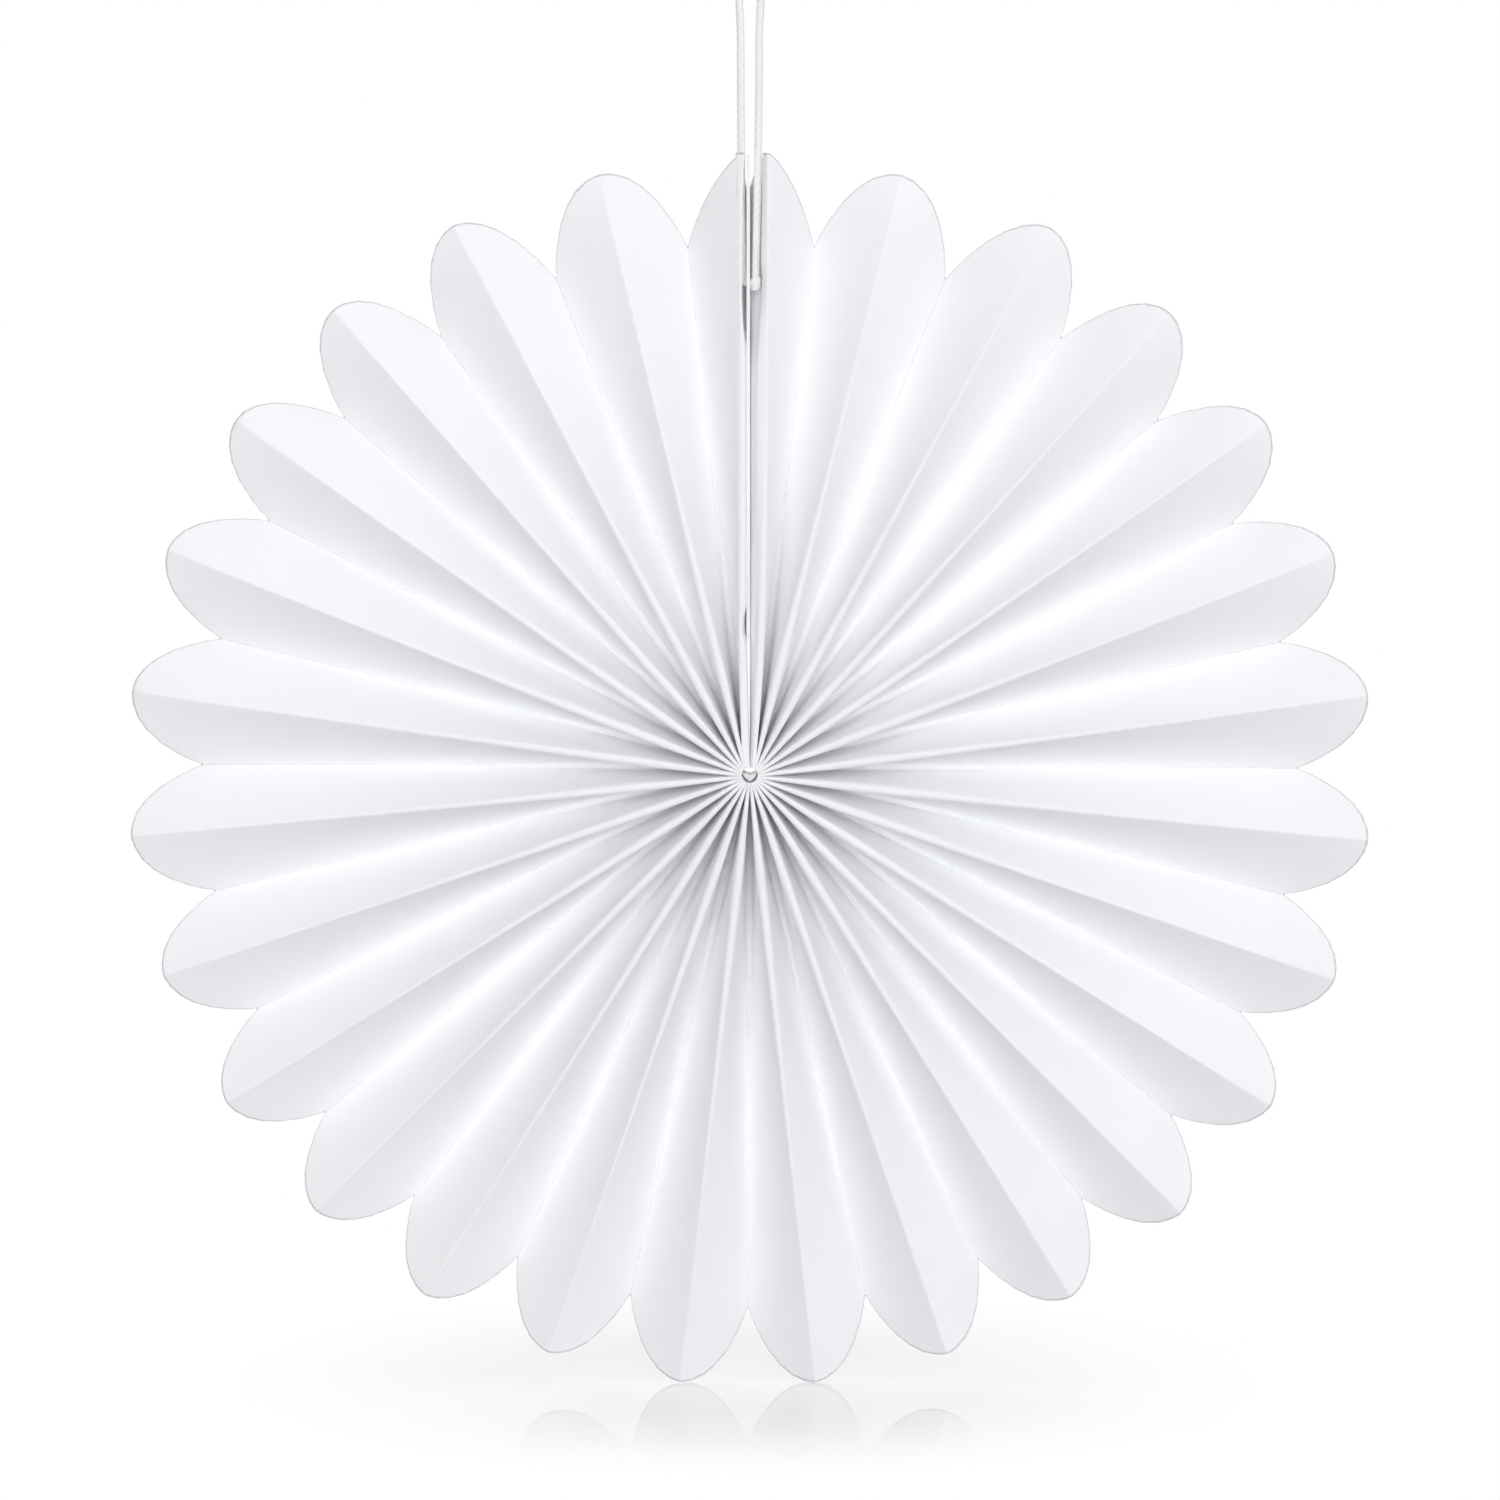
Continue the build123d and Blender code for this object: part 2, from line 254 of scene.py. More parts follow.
def cardMaterial(name, fibres, look):
    # Plain card with its fibres. The caller can link another colour in place of this one.
    material, nodes, links, shader = newMaterial(name)
    place = coordinates(nodes, "Object")
    group = useGroup(nodes, fibres, {
        "Colour": look["colour"],
        "Shade Colour": look["shadeColour"],
        "Fibre Scale": look["fibreScale"],
        "Cloud Scale": look["cloudScale"],
        "Cloud": look["cloud"],
        "Roughness": look["roughness"],
    })
    links.new(place, group.inputs["Vector"])
    links.new(group.outputs["Colour"], shader.inputs["Base Color"])
    links.new(group.outputs["Roughness"], shader.inputs["Roughness"])
    bump = bumpNode(nodes, links, group.outputs["Height"], look["fibreHeight"], look["fibreStrength"])
    links.new(bump, shader.inputs["Normal"])
    shader.inputs["Specular IOR Level"].default_value = look["specular"]
    return material, place, group.outputs["Colour"]


def seenDirectly(nodes, links):
    # One for the camera's rays and what they mirror or pass, zero for the light on other surfaces.
    rays = nodes.new("ShaderNodeLightPath").outputs
    seen = mathNode(nodes, links, "MAXIMUM", rays["Is Camera Ray"], rays["Is Glossy Ray"])
    return mathNode(nodes, links, "MAXIMUM", seen, rays["Is Transmission Ray"])


# The pleated paper: one strip of card in zigzag folds, opened into a disc

paper = {
    "outerDiameter": 0.400,
    "petals": 27,
    "card": 0.00022,
    "hubPlay": 0.00003,
    "hubGap": 0.0026,
    "notchFoldDepth": 0.0145,
    "petalLength": 0.025,
    "petalLengthJoint": 0.0038,  # petals are longer towards the joint
    "petalLengthQuarter": 0.0016,
    "petalRound": 2.15,  # power of the curve at a petal's end
    "petalRoundJoint": 1.45,  # the two half petals beside the joint are more pointed
    "shortNeighbour": 0.0019,
    "jointLeft": -1.28,  # angles of the two end ridges, in degrees
    "jointRight": 1.67,
    "spread": 2.1,  # how unevenly the ridges stand round the disc
    "spreadTwice": 0.5,
    "valleyLean": 0.5,
    "jointPull": 1.0,  # how far the folds beside the joint lean towards it, in degrees
    "jointPullLeft": 0.7,  # the same for the left ridge, against that
    "jointBow": 0.0016,  # of the end ridge right of the joint
    "bowPower": 0.8,
    "foldHalves": [  # radius, and half the width of a fold that isn't pressed flat there
        (0.006, 0.00045),
        (0.014, 0.00070),
        (0.030, 0.00120),
        (0.055, 0.00100),
        (0.095, 0.00045),
        (0.150, 0.00018),
    ],
    "bow": 0.00035,  # how far a pleat bulges between its folds
    "bowUneven": 0.00035,
    "bowGrows": (0.012, 0.09),  # between these radii it grows, and between the next it eases
    "bowEases": (0.15, 0.2),
    "bowEase": 0.5,
    "seed": 5,
    "rows": [0, 0.004, 0.01, 0.018, 0.028, 0.042, 0.06, 0.085, 0.115],  # shares of a fold's length
    "evenRows": 38,
    "evenSpan": (0.15, 0.98),
    "footRows": [0.206, 0.219, 0.232, 0.245, 0.262],  # more rows beside the strip's foot
    "edgeRows": [0.9962, 0.9984, 1.0],  # the rim's darker band begins at the second: partly a pressed edge, partly painted shade
    "acrossPleat": [0.06, 0.16, 0.33, 0.5, 0.67, 0.84, 0.94],
    "acrossFlap": [
        0.02, 0.05, 0.08, 0.11, 0.14, 0.17, 0.2, 0.23, 0.26,
        0.3, 0.35, 0.41, 0.48, 0.56, 0.66, 0.78, 0.9, 1,
    ],
    "acrossFold": 7,
    "foldReach": 4 / 3,  # how far a fold's turn reaches into the sheet, in half widths of the fold
    "foldReachMost": 0.9,  # and at most this share of the sheet beside it
    "valleyShadeFrom": (0.25, 0.5),  # the painted shade in the valleys grows between these shares
    "sharpAngle": 60,
    "colour": (0.947, 0.948, 0.955, 1),
    "shadeColour": (0.930, 0.932, 0.940, 1),
    # a touch darker than the paper: painted shade that tones down the ridges' highlight
    "creaseColour": (0.935, 0.937, 0.945, 1),
    # painted shade in the creases of the valleys
    "valleyShadeColour": (0.74, 0.75, 0.78, 1),
    # a darker band along the cut rim: partly a pressed edge, partly painted shade
    "rimColour": (0.52, 0.53, 0.56, 1),
    "roughness": 0.72,
    "specular": 0.25,
    "fibreScale": 1500.0,
    "fibreHeight": 0.00004,
    "fibreStrength": 0.35,
    "cloudScale": 38.0,
    "cloud": 0.45,
    "markPatchScale": 700.0,  # the painted shade along folds and rim comes and goes at this scale
    "markPatchRange": (0.3, 0.6),
    "markPatchPart": 0.4,
    "creaseShare": 1.0,
    "valleyShadeShare": 0.8,
    "rimShare": 0.9,
}

# The cut edge is grey: partly pressed fibres, partly painted shade of the edge seen side-on.
cutEdge = {
    "colour": (0.56, 0.56, 0.59, 1),
    "shadeColour": (0.476, 0.476, 0.5015, 1),
    "fibreScale": 3500.0,
    "fibreHeight": 0.00006,
    "fibreStrength": 0.6,
    "cloudScale": 220.0,
    "cloud": 0.8,
    "roughness": 0.9,
    "specular": 0.15,
}

joint = {
    # The right side of the joint comes first in each pair.
    "front": (0.10, 0.04),  # share of a flap in front of the line where it turns back
    "frontOpen": 0.10,  # the same beside the cord
    "turnDepth": (0.0062, 0.0015),  # how much further back the flap meets the strip
    "turnDepthOpen": 0.0125,  # the same beside the cord
    "leftBand": [  # height, left and right edge of the wide fold that lies against the strip
        (0.0025, -0.0014, -0.0011),
        (0.008, -0.0025, -0.0019),
        (0.026, -0.0032, -0.0021),
        (0.040, -0.0036, -0.0018),
        (0.060, -0.0035, -0.0016),
        (0.140, -0.0032, -0.0016),
        (0.152, -0.0032, -0.0022),
        (0.168, -0.0032, -0.0023),
        (0.176, -0.0031, -0.0019),
        (0.186, -0.0029, -0.0018),
        (0.200, -0.0021, -0.0017),
    ],
    "slit": (0.0485, 0.0055, 0.0008),  # height, half length and width beside the strip's foot
    "slitFull": 0.6,  # share of its half length that is fully open
    "knotRange": (0.7, 1.5),  # the slot narrows between these, in lengths of the knot
    "leastFront": 1.05,  # a flap's front part, at least, against its run sideways
    "stripLeft": -0.001,
    "stripRight": 0.0,
    "stripStart": 0.0425,
    "glue": 0.00006,
    "slotOpen": (0.128, 0.138),
    "slotFull": 0.152,
    "slotLeft": 0.0005,
    "slotRight": 0.0023,
}

cord = {
    "diameter": 0.0025,
    "play": 0.0001,
    "gap": 0.0058,
    "depth": -0.0030,
    "upright": 0.2055,
    "loopFeet": (0.2560, 0.2556),  # height of the loop's foot, right and left
    "loopLean": 0.0001,
    "loop": [  # across and up, from right to left
        (0.0089, 0.2684),
        (0.0097, 0.2766),
        (0.0041, 0.2824),
        (-0.0042, 0.2822),
        (-0.0096, 0.2762),
        (-0.0087, 0.2680),
    ],
    "seat": 0.00006,
    "knotHeight": 0.1575,
    "knotDiameter": 0.0036,
    "knotLength": 0.0052,
    "neckDiameter": 0.0020,
    "strands": 3,
    "twist": 0.0078,  # length of one turn
    "groove": 0.07,
    "ringStep": 0.0004,
    "sides": 30,
    "colour": (0.935, 0.935, 0.93, 1),
    # painted shade between the strands, also the darker fibres
    "fibreToneAndGrooveShade": (0.86, 0.86, 0.85, 1),
    "fibreScale": 7.0,
    "fibreHeight": 0.0001,
}

ridges = paper["petals"] + 1
folds = 2 * ridges - 1
tipRadius = paper["outerDiameter"] / 2
leafPitch = paper["card"] + paper["hubPlay"]
hubRound = (folds - 1) * leafPitch + paper["hubGap"]
hubRadius = hubRound / (2 * math.pi)
meanNotch = tipRadius - paper["petalLength"]
meanHalfPitch = math.radians(360 + paper["jointLeft"] - paper["jointRight"]) / (2 * paper["petals"])
pleatWidth = math.hypot(2 * meanNotch * math.sin(meanHalfPitch / 2), paper["notchFoldDepth"])
cordRadius = cord["diameter"] / 2
leftStrand = joint["stripLeft"] - cord["play"] - cordRadius
rightStrand = joint["stripRight"] + cord["play"] / 2 + cord["knotDiameter"] / 2


def smooth(x, low, high):
    s = np.clip((x - low) / (high - low), 0, 1)
    return s * s * (3 - 2 * s)


def ridgeAngle(k):
    share = k / paper["petals"]
    angle = paper["jointRight"] + (360 + paper["jointLeft"] - paper["jointRight"]) * share
    angle += paper["spread"] * math.sin(2 * math.pi * share)
    angle -= paper["spreadTwice"] * math.sin(4 * math.pi * share)
    pulls = {1: -paper["jointPull"], paper["petals"] - 1: paper["jointPullLeft"] * paper["jointPull"]}
    return angle + pulls.get(k, 0)


def foldAngle(k):
    # Even folds are ridges, odd ones valleys, clockwise from the joint.
    if k % 2 == 0:
        return ridgeAngle(k // 2)
    middle = (ridgeAngle(k // 2) + ridgeAngle(k // 2 + 1)) / 2
    if k in (1, folds - 2):
        return middle + (paper["jointPull"] if k > 1 else -paper["jointPull"])
    return middle + paper["valleyLean"] * math.sin(2 * math.pi * k / folds)


def inDisc(radius, angle):
    a = math.radians(angle)
    return np.array((radius * math.sin(a), 0.0, radius * math.cos(a)))


foldAngles = [foldAngle(k) for k in range(folds)]
hubAngles = [(paper["hubGap"] / 2 + k * leafPitch) * 360 / hubRound for k in range(folds)]
foldInner = [inDisc(hubRadius, angle) for angle in hubAngles]
foldOuter = [inDisc(tipRadius, angle) for angle in foldAngles]


def notchRadius(k):
    a = math.radians(foldAngles[k])
    longer = paper["petalLengthJoint"] * math.cos(a) + paper["petalLengthQuarter"] * math.cos(2 * a)
    return meanNotch - longer


def endRadius(k, left, power):
    # Where the petal's round end leaves that share of the pleat's width.
    notch = notchRadius(k)
    tip = tipRadius - (paper["shortNeighbour"] if min(k, folds - 1 - k) in (1, 2, 3) else 0)
    return notch + (tip - notch) * (1 - left**power)


def slitShare(height):
    # How open the little slit left of the strip's foot is.
    middle, half, _ = joint["slit"]
    return 1 - smooth(np.abs(height - middle), half * joint["slitFull"], half)


def leftBand(radius):
    heights, lefts, rights = zip(*joint["leftBand"])
    left = np.interp(radius, heights, lefts)
    right = np.interp(radius, heights, rights) - joint["slit"][2] * slitShare(radius)
    return left, right


def foldHalf(k, radius):
    # The folds bulge as far as their neighbours leave room.
    if k == folds - 1:
        left, right = leftBand(radius)
        return (right - left) / 2
    share = (radius - hubRadius) / (tipRadius - hubRadius)
    pitch = leafPitch + (meanHalfPitch * tipRadius - leafPitch) * share
    places, halves = zip(*paper["foldHalves"])
    return np.minimum(pitch - (paper["card"] + paper["hubPlay"]) / 2, np.interp(radius, places, halves))


def foldPlane(k, radius):
    share = np.maximum((radius - hubRadius) / (tipRadius - hubRadius), 0)
    points = foldInner[k] + (foldOuter[k] - foldInner[k]) * share[:, None]
    if k == 0:
        points[:, 0] += paper["jointBow"] * np.sin(math.pi * share ** paper["bowPower"])
    if k == folds - 1:
        left, right = leftBand(radius)
        points[:, 0] = (left + right) / 2
    return points


def pleatDepth(k, radius):
    run = np.linalg.norm(foldPlane(k + 1, radius) - foldPlane(k, radius), axis=1)
    run -= foldHalf(k, radius) + foldHalf(k + 1, radius)
    return np.sqrt(np.maximum(pleatWidth**2 - run**2, 0))


def foldCorner(k, side, radius):
    # One corner line of fold k: ridges stand in front of the middle plane, valleys behind.
    beside = [pleatDepth(j, radius) for j in (k - 1, k) if 0 <= j < folds - 1]
    front = -1 if k % 2 == 0 else 1
    along = foldOuter[k] - foldInner[k]
    along = along / np.linalg.norm(along)
    across = np.array((along[2], 0, -along[0]))
    points = foldPlane(k, radius) + across * (side * foldHalf(k, radius))[:, None]
    points[:, 1] = front * sum(beside) / len(beside) / 2
    return points


def strandPlace(side, height):
    start = leftStrand if side < 0 else rightStrand
    share = np.clip((height - cord["knotHeight"]) / (cord["upright"] - cord["knotHeight"]), 0, 1)
    return start + (side * cord["gap"] / 2 - start) * share


def flapLines(side, corner):
    # A flap seen along its ridge: it turns back, passes the cord and lies down on the strip.
    which = 0 if side > 0 else 1
    height = corner[:, 2]
    wide = smooth(height, joint["slotOpen"][which], joint["slotFull"])
    room = np.full_like(height, cordRadius)
    if side > 0:
        fromKnot = np.abs(height - cord["knotHeight"]) / cord["knotLength"]
        atKnot = 1 - smooth(fromKnot, *joint["knotRange"])
        room += (cord["knotDiameter"] / 2 - cordRadius) * atKnot
    room += 2 * cord["play"] + paper["card"] / 2
    full = strandPlace(side, height) + side * room
    stripFace = joint["stripRight"] if side > 0 else joint["stripLeft"]
    narrow = stripFace + side * joint["slotRight" if side > 0 else "slotLeft"]
    bendX = narrow + (full - narrow) * wide
    faceX = np.full_like(height, stripFace + side * (joint["glue"] + paper["card"] / 2))
    hub = side * leafPitch / 2
    share = np.clip((height - hubRadius) / (joint["stripStart"] - hubRadius), 0, 1)
    bendX = hub + (bendX - hub) * share
    faceX = hub + (faceX - hub) * share
    opened = wide
    if side < 0:
        slit = slitShare(height)
        bendX = bendX - joint["slit"][2] * slit
        opened = np.maximum(wide, slit)
    front = pleatWidth * (joint["front"][which] + (joint["frontOpen"] - joint["front"][which]) * opened)
    across = np.abs(bendX - corner[:, 0])
    front = np.maximum(front, joint["leastFront"] * across)
    bendY = corner[:, 1] + np.sqrt(front**2 - across**2)
    wallY = bendY + wide * np.maximum(cord["depth"] + room - bendY, 0)
    turn = joint["turnDepth"][which]
    turn = turn + (joint["turnDepthOpen"] - turn) * opened - wide * (wallY - bendY)
    faceY = wallY + turn
    used = front + wallY - bendY + np.hypot(faceX - bendX, turn)
    places = ((bendX, bendY), (bendX, wallY), (faceX, faceY), (faceX, faceY + pleatWidth - used))
    return [corner] + [np.stack((x, y, height), 1) for x, y in places]


evenShares = list(np.linspace(*paper["evenSpan"], paper["evenRows"]))
rowShares = np.array(sorted(paper["rows"] + evenShares + paper["footRows"] + paper["edgeRows"]))


def rowRadii(k, left, power=paper["petalRound"]):
    return hubRadius + rowShares * (endRadius(k, left, power) - hubRadius)


def flapColumns(side, k):
    # From the flap's ridge to its glued edge.
    columns = []
    for share in paper["acrossFlap"]:
        radius = rowRadii(k, share)
        lines = np.array(flapLines(side, foldCorner(k, -side, radius)))
        length = np.cumsum(np.linalg.norm(np.diff(lines, axis=0), axis=2), axis=0)
        length = np.concatenate((np.zeros((1, len(radius))), length))
        reach = foldReach(k, radius, lines[0], lines[1])
        places = reach + share * (length[-1] - reach)
        point = [
            [np.interp(place, length[:, i], lines[:, i, axis]) for axis in range(3)]
            for i, place in enumerate(places)
        ]
        columns.append(np.array(point))
    return columns


def foldReach(k, radius, corner, beside):
    # How far a fold's round turn reaches into the sheet beside it.
    room = paper["foldReachMost"] * np.linalg.norm(beside - corner, axis=1)
    return np.minimum(paper["foldReach"] * foldHalf(k, radius), room)


def foldColumns(k):
    # A soft turn round fold k, between the pleats on its two sides.
    left = 0 if k % 2 == 0 else 1
    radius = rowRadii(k, left)
    cornerA, cornerB = foldCorner(k, -1, radius), foldCorner(k, 1, radius)
    if k == 0:
        before = flapLines(1, cornerA)[1]
    else:
        before = foldCorner(k - 1, 1, radius)
    if k == folds - 1:
        after = flapLines(-1, cornerB)[1]
    else:
        after = foldCorner(k + 1, -1, radius)
    starts = []
    for corner, beside in ((cornerA, before), (cornerB, after)):
        towards = (beside - corner) / np.linalg.norm(beside - corner, axis=1)[:, None]
        starts.append(corner + towards * foldReach(k, radius, corner, beside)[:, None])
    startA, startB = starts
    columns = []
    for t in np.linspace(0, 1, paper["acrossFold"]):
        ends = (1 - t) ** 3 * startA + t**3 * startB
        columns.append(ends + 3 * (1 - t) * t * ((1 - t) * cornerA + t * cornerB))
    return columns


def pleatColumns(k, bulge):
    # The flat of the pleat between folds k and k + 1, bowed a little.
    columns = []
    power = paper["petalRoundJoint"] if k in (0, folds - 2) else paper["petalRound"]
    for share in paper["acrossPleat"]:
        left = share if k % 2 == 0 else 1 - share
        radiusA, radiusB = rowRadii(k, left, power), rowRadii(k + 1, left, power)
        a, b = foldCorner(k, 1, radiusA), foldCorner(k + 1, -1, radiusB)
        along = np.gradient(a, axis=0) + np.gradient(b, axis=0)
        normal = np.cross(b - a, along)
        normal /= np.linalg.norm(normal, axis=1)[:, None]
        grown = smooth(radiusA, *paper["bowGrows"])
        grown *= 1 - paper["bowEase"] * smooth(radiusA, *paper["bowEases"])
        columns.append(a + (b - a) * share + normal * (bulge * math.sin(math.pi * share) * grown)[:, None])
    return columns


def gridMesh(name, grid, thickness, marks):
    # A closed sheet: the grid's front and back, and the cut edge all round.
    columns, rows = grid.shape[:2]
    acrossStep = np.gradient(grid, axis=0)
    alongStep = np.gradient(grid, axis=1)
    normal = np.cross(acrossStep, alongStep)
    normal /= np.linalg.norm(normal, axis=2)[:, :, None]
    if normal[columns // 2, rows // 2, 1] > 0:
        normal = -normal
    front = grid + normal * thickness / 2
    back = grid - normal * thickness / 2
    points = np.concatenate((front.reshape(-1, 3), back.reshape(-1, 3)))
    count = columns * rows
    index = np.arange(count).reshape(columns, rows)
    quads = np.stack((index[:-1, :-1], index[1:, :-1], index[1:, 1:], index[:-1, 1:]), -1).reshape(-1, 4)
    faces = [quads, quads[:, ::-1] + count]
    outline = np.concatenate((index[:-1, 0], index[-1, :-1], index[:0:-1, -1], index[0, :0:-1]))
    nextOne = np.roll(outline, -1)
    faces.append(np.stack((nextOne, outline, outline + count, nextOne + count), -1))
    allFaces = np.concatenate(faces)
    mesh = bpy.data.meshes.new(name)
    mesh.from_pydata(points.tolist(), [], allFaces.tolist())
    materialIndex = np.zeros(len(allFaces), np.int32)
    materialIndex[len(quads) * 2 + columns - 1 :] = 1  # all but the edge round the eye
    mesh.polygons.foreach_set("material_index", materialIndex)
    mesh.polygons.foreach_set("use_smooth", np.ones(len(allFaces), bool))
    for label, values in marks.items():
        mark = mesh.attributes.new(label, "FLOAT", "POINT")
        mark.data.foreach_set("value", np.concatenate((values.ravel(), values.ravel())).astype(np.float32))
    mesh.set_sharp_from_angle(angle=math.radians(paper["sharpAngle"]))
    mesh.update()
    piece = bpy.data.objects.new(name, mesh)
    bpy.context.scene.collection.objects.link(piece)
    return piece


def paperMaterial(fibres):
    # Painted shade along the folds and the rim: the valleys darker in their creases, the ridges a touch
    # darker to tone down their highlight, and a darker band by the cut edge, which is partly a pressed
    # edge. All of it is stronger in some spots than in others.
    material, place, colour = cardMaterial("whitePaper", fibres, paper)
    nodes, links = material.node_tree.nodes, material.node_tree.links
    patches = noiseNode(nodes, links, place, paper["markPatchScale"], roughness=0.6)
    patchy = rampMask(nodes, links, patches, *paper["markPatchRange"])
    uneven = mathNode(nodes, links, "MULTIPLY_ADD", patchy, paper["markPatchPart"], 1 - paper["markPatchPart"])
    for label, tint, strength in (
        ("ridge", paper["creaseColour"], paper["creaseShare"]),
        ("valleyShade", paper["valleyShadeColour"], paper["valleyShadeShare"]),
        ("rim", paper["rimColour"], paper["rimShare"]),
    ):
        mark = nodes.new("ShaderNodeAttribute")
        mark.attribute_name = label
        share = mathNode(nodes, links, "MULTIPLY", mark.outputs["Fac"], uneven)
        colour = mixColour(nodes, links, mathNode(nodes, links, "MULTIPLY", share, strength), colour, tint)
    links.new(colour, nodes["Principled BSDF"].inputs["Base Color"])
    return material


def makePaper(fibres):
    rng = np.random.default_rng(paper["seed"])
    bulges = paper["bow"] + paper["bowUneven"] * rng.uniform(-1, 1, folds - 1)
    columns = flapColumns(1, 0)[::-1]
    ridge, valleyShade = [0.0] * len(columns), [0.0] * len(columns)
    for k in range(folds):
        turn = foldColumns(k)
        mark = [1.0 - abs(2 * t - 1) ** 3 for t in np.linspace(0, 1, len(turn))]
        flat = pleatColumns(k, bulges[k]) if k < folds - 1 else flapColumns(-1, k)
        none = [0.0] * len(flat)
        columns += turn + flat
        ridge += (mark if k % 2 == 0 else [0.0] * len(turn)) + none
        valleyShade += (mark if k % 2 == 1 else [0.0] * len(turn)) + none
    grid = np.array(columns)
    # The valleys get painted shade in their creases, growing outwards from a quarter of each fold's
    # length.
    shadeOutwards = smooth(rowShares, *paper["valleyShadeFrom"])
    atRim = np.where(rowShares >= paper["edgeRows"][1], 1.0, 0.0)
    marks = {
        "ridge": np.outer(ridge, np.ones_like(rowShares)),
        "valleyShade": np.outer(valleyShade, shadeOutwards),
        "rim": np.outer(np.ones(len(columns)), atRim),
    }
    piece = gridMesh("paperDisc", grid, paper["card"], marks)
    piece.data.materials.append(paperMaterial(fibres))
    piece.data.materials.append(cardMaterial("cutPaperEdge", fibres, cutEdge)[0])
    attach(piece, "root")
    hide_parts("pleated_paper")
    print("pleated paper:", grid.shape[0], "columns,", len(piece.data.polygons), "faces")


# Yarns: the hanging cord, its knot and the thread in the hub


def yarnMesh(name, path, radii, yarn, closed=False):
    # A tube with the strands laid round it. UV follows the strands.
    path = np.asarray(path, float)
    sides, strands = yarn["sides"], yarn["strands"]
    if closed:
        tangents = np.roll(path, -1, 0) - np.roll(path, 1, 0)
    else:
        tangents = np.gradient(path, axis=0)
    tangents /= np.linalg.norm(tangents, axis=1)[:, None]
    steps = np.linalg.norm(np.diff(path, axis=0), axis=1)
    length = np.concatenate(([0], np.cumsum(steps)))
    side = np.cross(tangents[0], (0.0, 1.0, 0.0))
    if np.linalg.norm(side) < 0.1:
        side = np.cross(tangents[0], (1.0, 0.0, 0.0))
    around = np.linspace(0, 2 * math.pi, sides, endpoint=False)
    points, uvs = [], []
    for i, tangent in enumerate(tangents):
        side = side - tangent * np.dot(side, tangent)
        side /= np.linalg.norm(side)
        other = np.cross(tangent, side)
        turned = around - 2 * math.pi * length[i] / yarn["twist"]
        raised = np.abs(np.cos(strands * turned / 2)) ** yarnLook["strandRound"]
        bulge = 1 - yarn["groove"] * (1 - raised)
        ring = np.cos(around)[:, None] * side + np.sin(around)[:, None] * other
        points.append(path[i] + ring * (radii[i] * bulge)[:, None])
        diameters = length[i] / (2 * yarn["radius"])
        uvs.append((strands * turned / (2 * math.pi) + 0.5, np.full(sides, diameters)))
    rings = len(path)
    index = np.arange(rings * sides).reshape(rings, sides)
    faces, faceUvs = [], []
    lastRing = rings if closed else rings - 1
    for i in range(lastRing):
        j = (i + 1) % rings
        for m in range(sides):
            n = (m + 1) % sides
            faces.append((index[i, m], index[j, m], index[j, n], index[i, n]))
            turn = strands if n == 0 else 0
            endV = length[-1] + steps[0] if j < i else length[j]
            endV /= 2 * yarn["radius"]
            faceUvs += [
                (uvs[i][0][m], uvs[i][1][m]),
                (uvs[j][0][m], endV),
                (uvs[j][0][n] + turn, endV),
                (uvs[i][0][n] + turn, uvs[i][1][n]),
            ]
    vertices = np.concatenate(points)
    if not closed:
        for ring, flip in ((0, False), (rings - 1, True)):
            centre = len(vertices)
            vertices = np.concatenate((vertices, path[ring][None]))
            for m in range(sides):
                n = (m + 1) % sides
                corner = (index[ring, m], index[ring, n])
                faces.append((centre, *(corner[::-1] if flip else corner)))
                faceUvs += [(0.5, 0.0)] * 3
    mesh = bpy.data.meshes.new(name)
    mesh.from_pydata(vertices.tolist(), [], [tuple(int(v) for v in f) for f in faces])
    layer = mesh.uv_layers.new(name="strands")
    layer.data.foreach_set("uv", np.array(faceUvs, np.float32).ravel())
    mesh.polygons.foreach_set("use_smooth", np.ones(len(faces), bool))
    mesh.update()
    piece = bpy.data.objects.new(name, mesh)
    bpy.context.scene.collection.objects.link(piece)
    return piece


def yarnMaterial(name, group, yarn):
    material, nodes, links, shader = newMaterial(name)
    node = useGroup(nodes, group, {
        "Colour": yarn["colour"],
        "Fibre Tone And Groove Shade": yarn["fibreToneAndGrooveShade"],
        "Fibre Scale": yarn["fibreScale"],
        "Groove Shade Width": yarnLook["grooveShadeWidth"],
        "Roughness": yarnLook["roughness"],
    })
    links.new(coordinates(nodes, "UV"), node.inputs["UV"])
    links.new(node.outputs["Colour"], shader.inputs["Base Color"])
    links.new(node.outputs["Roughness"], shader.inputs["Roughness"])
    bump = bumpNode(nodes, links, node.outputs["Height"], yarn["fibreHeight"], yarnLook["bumpStrength"])
    links.new(bump, shader.inputs["Normal"])
    shader.inputs["Sheen Weight"].default_value = yarnLook["sheen"]
    shader.inputs["Specular IOR Level"].default_value = yarnLook["specular"]
    return material


def splineLine(name, points):
    # The smooth line of a cord's route: a NURBS spline with the route's points as controls.
    curve = bpy.data.curves.new(name, "CURVE")
    curve.dimensions = "3D"
    spline = curve.splines.new("NURBS")
    spline.points.add(len(points) - 1)
    for target, point in zip(spline.points, points):
        target.co = (*point, 1.0)
    spline.order_u = yarnLook["lineOrder"]
    spline.use_endpoint_u = True
    spline.resolution_u = yarnLook["linePoints"]
    holder = bpy.data.objects.new(name, curve)
    bpy.context.scene.collection.objects.link(holder)
    mesh = bpy.data.meshes.new_from_object(holder)
    line = np.array([v.co for v in mesh.vertices], float)
    bpy.data.objects.remove(holder)
    bpy.data.curves.remove(curve)
    bpy.data.meshes.remove(mesh)
    return line


